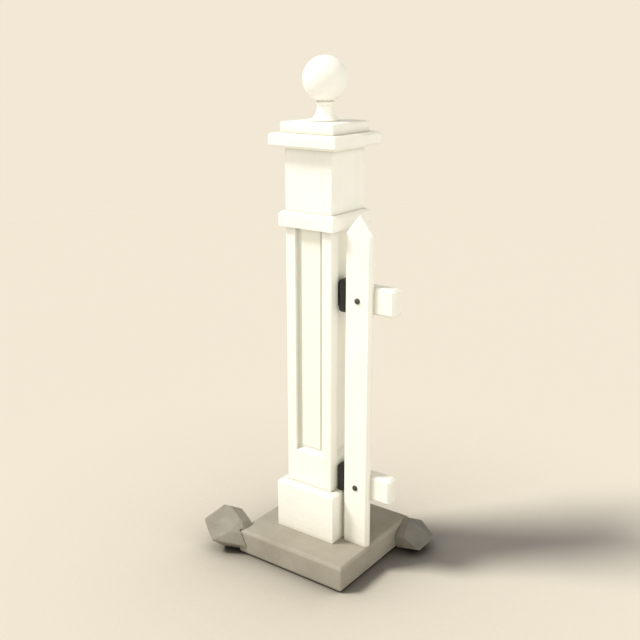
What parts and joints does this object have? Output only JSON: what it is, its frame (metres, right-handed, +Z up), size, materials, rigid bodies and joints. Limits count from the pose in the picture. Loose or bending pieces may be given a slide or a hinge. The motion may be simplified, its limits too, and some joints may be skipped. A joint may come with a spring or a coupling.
{
  "type": "fence post",
  "caption": "Painted square timber fence post with sunk panels, collar, stepped cap and ball finial on a stone pad, with a pointed picket on stub rails held in iron shoes.",
  "frame": {"origin": "on the post's axis, at the stone pad's underside", "axes": "+Z up along the post, +X towards the picket and the rails, -Y the side that the picket's face looks to"},
  "size_m": [0.5631, 0.435, 1.4],
  "materials": {
    "white_paint": "brushed satin white paint on timber",
    "pad_stone": "sawn warm grey stone with bevelled edges",
    "field_stone": "rough split field stone",
    "black_iron": "black painted casting",
    "bolt_steel": "blackened steel"
  },
  "bodies": {
    "root": {"stone_slab": "pad_stone", "footing_stone_left": "field_stone", "footing_stone_right": "field_stone", "plinth_skirt": "white_paint", "post_shaft": "white_paint", "neck_collar": "white_paint", "cap_plate": "white_paint", "cap_block": "white_paint", "ball_finial": "white_paint", "picket": "white_paint", "top_rail": "white_paint", "bottom_rail": "white_paint", "top_bracket": "black_iron", "bottom_bracket": "black_iron", "picket_bolt_top": "bolt_steel", "picket_bolt_bottom": "bolt_steel"}
  },
  "joints": []
}
